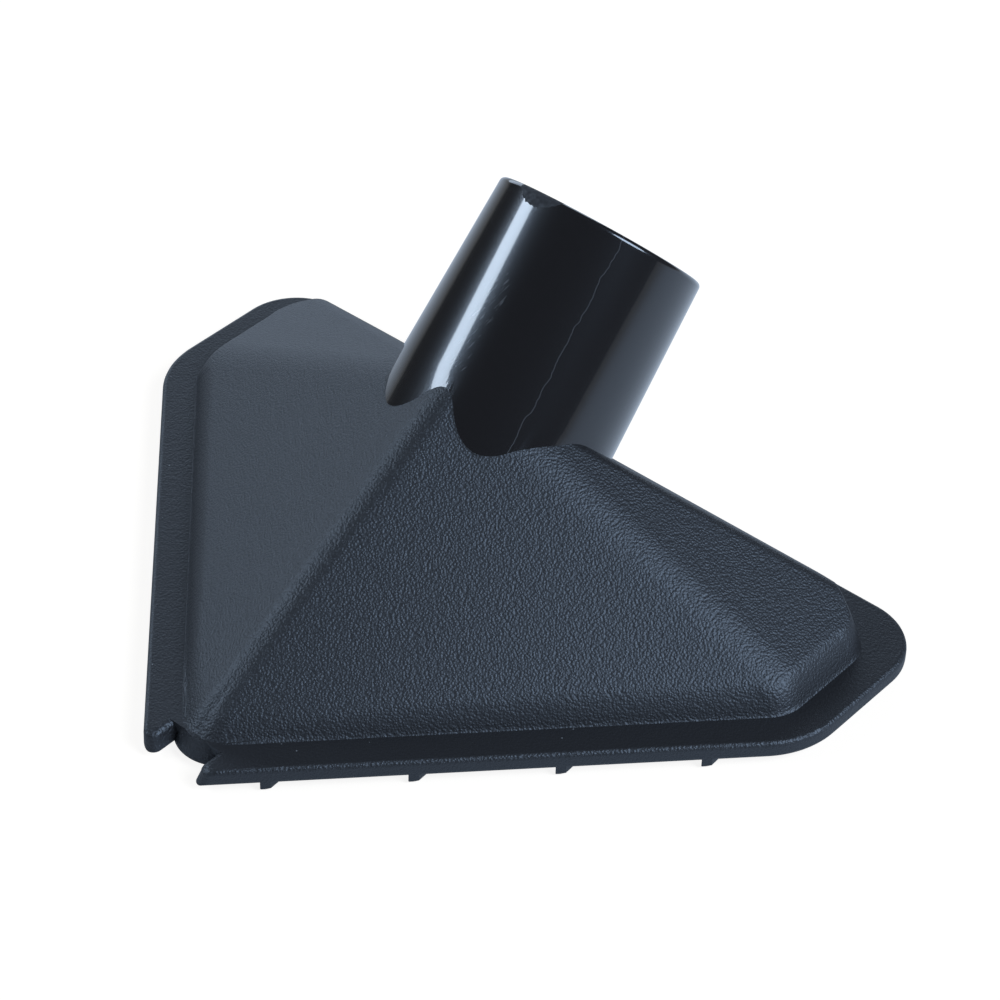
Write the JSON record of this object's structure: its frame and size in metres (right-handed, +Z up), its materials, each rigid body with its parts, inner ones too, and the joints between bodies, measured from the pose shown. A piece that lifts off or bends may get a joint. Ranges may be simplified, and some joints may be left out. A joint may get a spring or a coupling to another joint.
{
  "type": "vacuum coarse dirt nozzle",
  "caption": "One-piece moulded vacuum nozzle: a hollow pyramid hood over a five-sided mouth with a flat lip and small fins, and a round hose socket on its sloping back.",
  "frame": {"origin": "middle of the overall width and depth, level with the tips of the spacer fins under the lip", "axes": "+X across the width, -Y towards the tip of the mouth, +Z up; the socket leans back towards +Y"},
  "size_m": [0.15, 0.1192, 0.0664],
  "materials": {
    "nozzle_plastic": "blue-black plastic, leather grain on the hood, smooth lip, polished socket"
  },
  "bodies": {
    "root": {"nozzle": "nozzle_plastic"}
  },
  "joints": []
}
